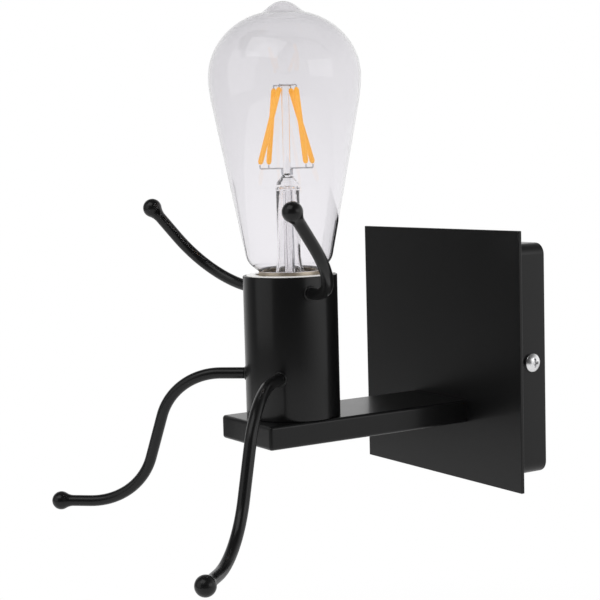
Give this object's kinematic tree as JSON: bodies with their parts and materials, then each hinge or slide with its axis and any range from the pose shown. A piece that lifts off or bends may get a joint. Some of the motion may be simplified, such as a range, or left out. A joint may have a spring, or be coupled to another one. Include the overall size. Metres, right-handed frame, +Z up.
{
  "type": "wall lamp",
  "caption": "Wall lamp like a little figure: square wall box, flat bar, upright lampholder tube with bent ball-ended limbs and a clear pear-shaped filament bulb as head.",
  "frame": {"origin": "middle of the wall box on the wall plane", "axes": "+Z up, +Y into the wall, so the lamp stands out towards -Y, +X to the right seen from the room"},
  "size_m": [0.163, 0.1858, 0.2213],
  "materials": {
    "black_coat": "satin black powder coat",
    "bright_screw": "bright nickel plate",
    "zinc_steel": "zinc-plated steel",
    "brass": "bare brass",
    "block_plastic": "moulded nylon",
    "bush_rubber": "soft rubber",
    "porcelain": "glazed porcelain",
    "brown_insulation": "silicone insulation",
    "blue_insulation": "silicone insulation",
    "green_insulation": "green and yellow insulation",
    "bulb_clear": "clear glass",
    "filament_phosphor": "orange phosphor",
    "cap_metal": "warm nickel plate",
    "cap_solder": "soldered contact",
    "cap_glaze": "black glass insulator",
    "board": "circuit board"
  },
  "bodies": {
    "fixture": {"wall_bracket": "zinc_steel", "wall_box": "black_coat", "front_panel": "black_coat", "side_screws": "bright_screw", "earth_screw": "brass", "earth_tag": "zinc_steel", "terminal_block": "block_plastic", "terminal_clamps": "brass", "clamp_screws": "bright_screw", "block_screw": "bright_screw", "cable_bush": "bush_rubber", "bar_screws": "bright_screw", "arm_bar": "black_coat", "bar_end_cap": "black_coat", "bar_rear_plug": "zinc_steel", "nipple": "brass", "bar_nut": "zinc_steel", "tube_nut": "zinc_steel", "body_tube": "black_coat", "limb_sockets": "black_coat", "holder_foot": "zinc_steel", "foot_screws": "bright_screw", "holder_body": "porcelain", "screw_shell": "brass", "contact_spring": "brass", "holder_terminals": "brass", "live_wire": "brown_insulation", "neutral_wire": "blue_insulation", "earth_wire": "green_insulation"},
    "left_arm": {"left_arm_rod": "black_coat", "left_arm_ball": "black_coat"},
    "right_arm": {"right_arm_rod": "black_coat", "right_arm_ball": "black_coat"},
    "left_leg": {"left_leg_rod": "black_coat", "left_leg_ball": "black_coat"},
    "right_leg": {"right_leg_rod": "black_coat", "right_leg_ball": "black_coat"},
    "bulb": {"bulb_glass": "bulb_clear", "bulb_stem": "bulb_clear", "exhaust_tube": "bulb_clear", "led_filaments": "filament_phosphor", "filament_leads": "zinc_steel", "bulb_cap": "cap_metal", "cap_insulator": "cap_glaze", "cap_contact": "cap_solder", "driver_board": "board"}
  },
  "joints": [
    {"name": "left_arm_swivel", "type": "hinge", "parent": "fixture", "child": "left_arm", "pos_m": [-0.01985, -0.10044, 0.0332], "axis": [-0.9925, -0.1219, 0], "range_deg": [-57, 83]},
    {"name": "right_arm_swivel", "type": "hinge", "parent": "fixture", "child": "right_arm", "pos_m": [0.01985, -0.10044, 0.0332], "axis": [0.9925, -0.1219, 0], "range_deg": [-83, 57]},
    {"name": "left_leg_swivel", "type": "hinge", "parent": "fixture", "child": "left_leg", "pos_m": [-0.01338, -0.11286, -0.002], "axis": [-0.6691, -0.7431, 0], "range_deg": [-60, 60]},
    {"name": "right_leg_swivel", "type": "hinge", "parent": "fixture", "child": "right_leg", "pos_m": [0.01338, -0.11286, -0.002], "axis": [0.6691, -0.7431, 0], "range_deg": [-60, 60]},
    {"name": "bulb_out", "type": "slide", "parent": "fixture", "child": "bulb", "axis": [0, 0, 1], "range_m": [0, 0.032]}
  ]
}
